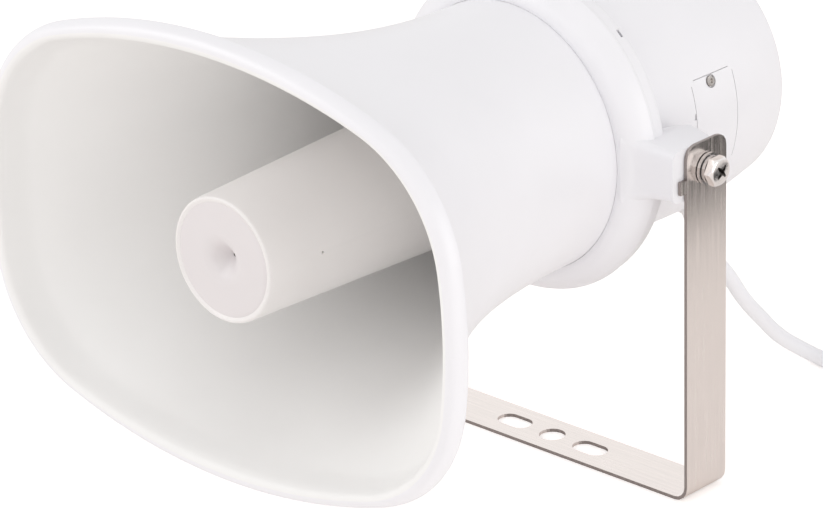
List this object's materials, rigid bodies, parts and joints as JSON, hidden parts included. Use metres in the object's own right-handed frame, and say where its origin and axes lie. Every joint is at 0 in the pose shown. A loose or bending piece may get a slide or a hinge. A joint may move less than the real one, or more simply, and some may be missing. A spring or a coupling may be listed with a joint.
{
  "type": "pa horn speaker",
  "caption": "Small rectangular reflex horn loudspeaker with a centre cup, on a U-shaped steel strip bracket it tilts in, with its lead.",
  "frame": {"origin": "middle of the bracket strip's underside, on the surface it is bolted to", "axes": "+Z from the strip up to the horn, -Y the way the mouth looks, +X along the tilt axis, to the left of the horn seen from its mouth"},
  "size_m": [0.2327, 0.3767, 0.2116],
  "materials": {
    "white_plastic": "fine moulded white, satin",
    "cup_plastic": "fine moulded white, satin",
    "gland_plastic": "moulded white",
    "black_plastic": "moulded black",
    "terminal_plastic": "moulded dark grey",
    "stainless_bracket": "brushed along the strip",
    "bolt_steel": "bright cold-formed steel",
    "washer_steel": "bright stamped steel",
    "insert_brass": "turned",
    "screw_zinc": "zinc plated",
    "cable_sheath": "soft white sheath",
    "core_copper": "bare stranded copper",
    "seal_rubber": "moulded rubber",
    "gasket_foam": "closed foam",
    "diaphragm_film": "phenolic sheet",
    "coil_copper": "enamelled winding",
    "driver_iron": "plated iron",
    "magnet_ferrite": "ground ferrite",
    "core_iron": "stacked laminations",
    "winding_wrap": "taped winding"
  },
  "bodies": {
    "bracket": {"bracket": "stainless_bracket"},
    "horn": {"bell": "white_plastic", "bolt_left": "bolt_steel", "bolt_right": "bolt_steel", "cable": "cable_sheath", "cable_coil": "cable_sheath", "cable_core_inner": "core_copper", "cable_core_outer": "core_copper", "cable_gland": "gland_plastic", "collar": "white_plastic", "diaphragm": "diaphragm_film", "diaphragm_ring": "black_plastic", "driver_front": "black_plastic", "driver_gasket": "gasket_foam", "driver_screw_1": "screw_zinc", "driver_screw_2": "screw_zinc", "driver_screw_3": "screw_zinc", "driver_screw_4": "screw_zinc", "flat_washer_left": "washer_steel", "flat_washer_right": "washer_steel", "housing_screw_1": "screw_zinc", "housing_screw_2": "screw_zinc", "housing_screw_3": "screw_zinc", "housing_screw_4": "screw_zinc", "housing_seal": "seal_rubber", "insert_left": "insert_brass", "insert_right": "insert_brass", "magnet": "magnet_ferrite", "rear_housing": "white_plastic", "reflector": "cup_plastic", "side_cover": "white_plastic", "side_cover_screw_lower": "screw_zinc", "side_cover_screw_upper": "screw_zinc", "spring_washer_left": "washer_steel", "spring_washer_right": "washer_steel", "terminal_block": "terminal_plastic", "throat_tube": "black_plastic", "top_plate": "driver_iron", "transformer_core": "core_iron", "transformer_winding": "winding_wrap", "voice_coil": "coil_copper", "yoke": "driver_iron"}
  },
  "joints": [
    {"name": "bracket_tilt", "type": "hinge", "parent": "bracket", "child": "horn", "pos_m": [0, 0, 0.129], "axis": [1, 0, 0], "range_deg": [-33, 50]}
  ]
}
